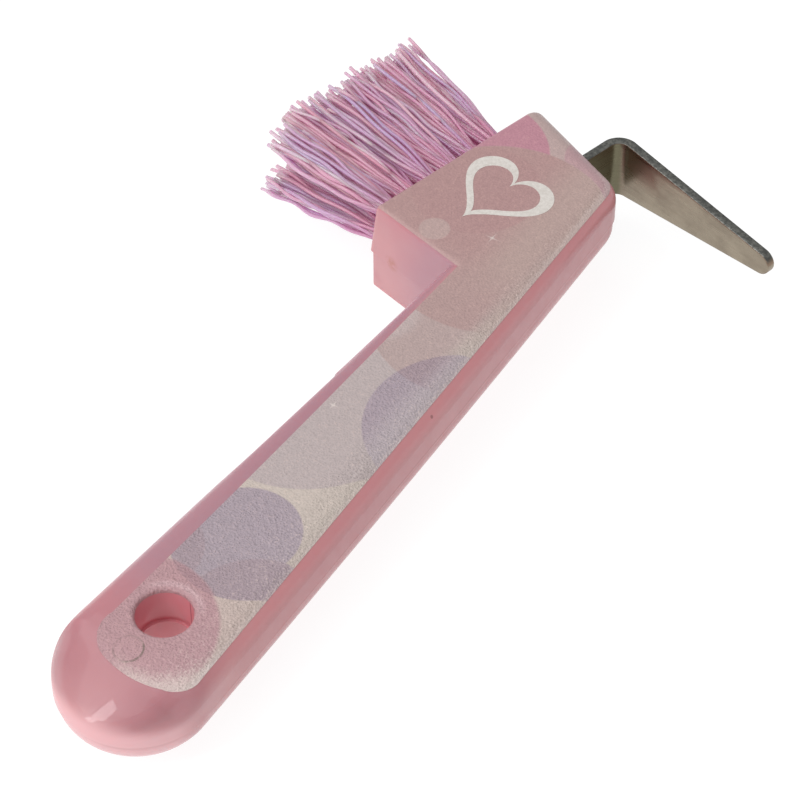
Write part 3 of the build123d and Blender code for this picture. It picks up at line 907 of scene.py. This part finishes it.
def turn_in(bm):
    """Turns the film into the hang hole's rim, and gives its border a thin wall."""
    rim = [e for e in bm.edges if e.is_boundary and max(w.co.xy.length for w in e.verts) < 6.5 * MM]
    bend = LIP_RADIUS + FILM_LIFT / MM
    for k in range(1, LIP_STEPS + 1):
        angle = LIP_TURN * k / LIP_STEPS
        points, rim = extrude(bm, rim)
        for v in points:
            spot = v.co.xy.normalized() * (LIP_CENTRE_R - bend * math.sin(angle)) * MM
            v.co = (spot.x, spot.y, (LIP_CENTRE_Z + bend * math.cos(angle)) * MM)
    points, _ = extrude(bm, [e for e in bm.edges if e.is_boundary])
    for v in points:
        v.co.z -= 1.6 * FILM_LIFT


def film_piece(look):
    """The film, pressed onto the moulding and turned into the hang hole's rim."""
    bm = bmesh.new()
    bm.from_mesh(nodes["print_film"].data)
    film_face(bm)
    press_down(bm)
    turn_in(bm)
    bmesh.ops.recalc_face_normals(bm, faces=bm.faces)
    top = max(bm.faces, key=lambda f: f.calc_area())
    if top.normal.z < 0:
        bmesh.ops.reverse_faces(bm, faces=bm.faces)
    for f in bm.faces:
        f.smooth = True
    for e in bm.edges:
        e.smooth = not (len(e.link_faces) == 2 and e.calc_face_angle(0) > math.radians(50))
    mesh = bpy.data.meshes.new("film")
    bm.to_mesh(mesh)
    bm.free()
    mesh.materials.append(look.material)
    piece = bpy.data.objects.new("printed_film_skin", mesh)
    bpy.context.scene.collection.objects.link(piece)
    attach(piece, "root")
    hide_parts("print_film")
    return piece


# ---------------------------------------------------------------- printed mark

HEART_ALONG, HEART_ACROSS = 18.2 * MM, -12.0 * MM  # from the head's corner
HEART_OUTER, HEART_INNER = 0.60, 0.455  # scales of its two outlines
HEART_STEPS = 160
HEART_LOW, HEART_HIGH = -0.02, 0.012  # from the film's top


def heart(k, scale):
    """A point on a heart-shaped curve, about its own middle."""
    t = 2 * math.pi * k / HEART_STEPS
    x = 16 * math.sin(t) ** 3
    y = 13 * math.cos(t) - 5 * math.cos(2 * t) - 2 * math.cos(3 * t) - math.cos(4 * t)
    return x * scale, (y + 2.5) * scale


def heart_mark(look):
    """A plain heart outline, printed in white on the head."""
    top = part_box("print_film")[1].z
    middle = head_place(HEART_ALONG, HEART_ACROSS, 0)
    rims = ((0.0, HEART_LOW), (0.0, HEART_HIGH), (1.0, HEART_HIGH), (1.0, HEART_LOW))
    points, faces = [], []
    for k in range(HEART_STEPS):
        outer, inner = heart(k, HEART_OUTER), heart(k, HEART_INNER)
        for share, lift in rims:
            a = outer[0] + (inner[0] - outer[0]) * share
            b = outer[1] + (inner[1] - outer[1]) * share
            spot = middle + ACROSS * (-a * MM) + ALONG * (b * MM)
            points.append(Vector((spot.x, spot.y, top + lift * MM)))
    for k in range(HEART_STEPS):
        m = (k + 1) % HEART_STEPS
        for r in range(4):
            q = (r + 1) % 4
            faces.append((4 * k + r, 4 * m + r, 4 * m + q, 4 * k + q))
    piece = new_piece("head_mark", points, faces, look)
    tidy_mesh(piece)
    piece.data.polygons.foreach_set("use_smooth", [False] * len(piece.data.polygons))
    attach(piece, "root")
    return piece


# ---------------------------------------------------------------- build

dress("handle_moulding", moulding_look())
film_piece(film_look())
dress("tuft_anchors", anchor_look())
steel_strap(steel_look())
heart_mark(mark_look())
bristles = bristle_look()
rng = random.Random(11)
for node in sorted(n for n in nodes if n.startswith("tuft_row")):
    tuft_mesh(node, bristles, rng)


# ---------------------------------------------------------------- stage

FLOOR_SIZE = 4.0  # half its width
LENS, SENSOR = 135, 36
EYE = Vector((204.23, -240.05, 384.56)) * MM
LOOKS_AT = Vector((1.43, 67.58, 0)) * MM
WORLD_LIGHT = 0.46


def floor():
    """A pale floor that touches the butt and the brush block's near edge."""
    spots = [v.co for v in nodes["handle_moulding"].data.vertices]
    lowest = min(p.z for p in spots)
    foot = min((p for p in spots if p.z < lowest + 0.02 * MM), key=lambda p: p.y)
    slope = max((p.z - foot.z) / (p.y - foot.y) for p in spots if p.y < 0.05)
    level = foot.z - slope * foot.y - 0.05 * MM
    points = []
    for x in (-FLOOR_SIZE, FLOOR_SIZE):
        for y in (-FLOOR_SIZE, FLOOR_SIZE):
            points.append((x, y, level + slope * y))
    mesh = bpy.data.meshes.new("floor")
    mesh.from_pydata(points, [], [(0, 2, 3, 1)])
    plane = bpy.data.objects.new("floor", mesh)
    bpy.context.scene.collection.objects.link(plane)
    look = Look("pale_floor")
    paper = look.noise(0.02, 2.0)
    look.set(
        Base_Color=look.mix(lin(122, 122, 122), lin(128, 128, 128), paper),
        Roughness=0.9,
        Specular_IOR_Level=0.1,
        Emission_Color=(1, 1, 1, 1),
        Emission_Strength=0.88,
    )
    plane.data.materials.append(look.material)


def area_light(name, place, target, size, power):
    data = bpy.data.lights.new(name, "AREA")
    data.shape = "RECTANGLE"
    data.size, data.size_y = size
    data.energy = power
    lamp = bpy.data.objects.new(name, data)
    lamp.location = place
    way = Vector(target) - Vector(place)
    lamp.rotation_euler = way.to_track_quat("-Z", "Y").to_euler()
    bpy.context.scene.collection.objects.link(lamp)


def camera():
    """A level camera, with the photograph's point of view."""
    data = bpy.data.cameras.new("camera")
    data.lens, data.sensor_width = LENS, SENSOR
    data.clip_start, data.clip_end = 0.01, 20
    ahead = (LOOKS_AT - EYE).normalized()
    right = ahead.cross(UP).normalized()
    turn = Matrix((right, right.cross(ahead), -ahead)).transposed()
    eye = bpy.data.objects.new("camera", data)
    eye.matrix_world = Matrix.Translation(EYE) @ turn.to_4x4()
    bpy.context.scene.collection.objects.link(eye)
    bpy.context.scene.camera = eye


def world():
    studio = bpy.data.worlds.new("studio")
    studio.use_nodes = True
    background = studio.node_tree.nodes["Background"]
    background.inputs[0].default_value = (1, 1, 1, 1)
    background.inputs[1].default_value = WORLD_LIGHT
    bpy.context.scene.world = studio


floor()
camera()
area_light("key", (-0.5, -0.05, 1.2), (0, 0.06, 0), (1.5, 1.5), 7.8)
area_light("window", (-0.4, -0.68, 0.78), (0, -0.02, 0), (0.2, 0.75), 3.4)
area_light("front", (0.0, -1.1, 0.3), (0, -0.02, 0), (1.6, 0.9), 3.2)
world()
bpy.context.scene.view_settings.view_transform = "Standard"
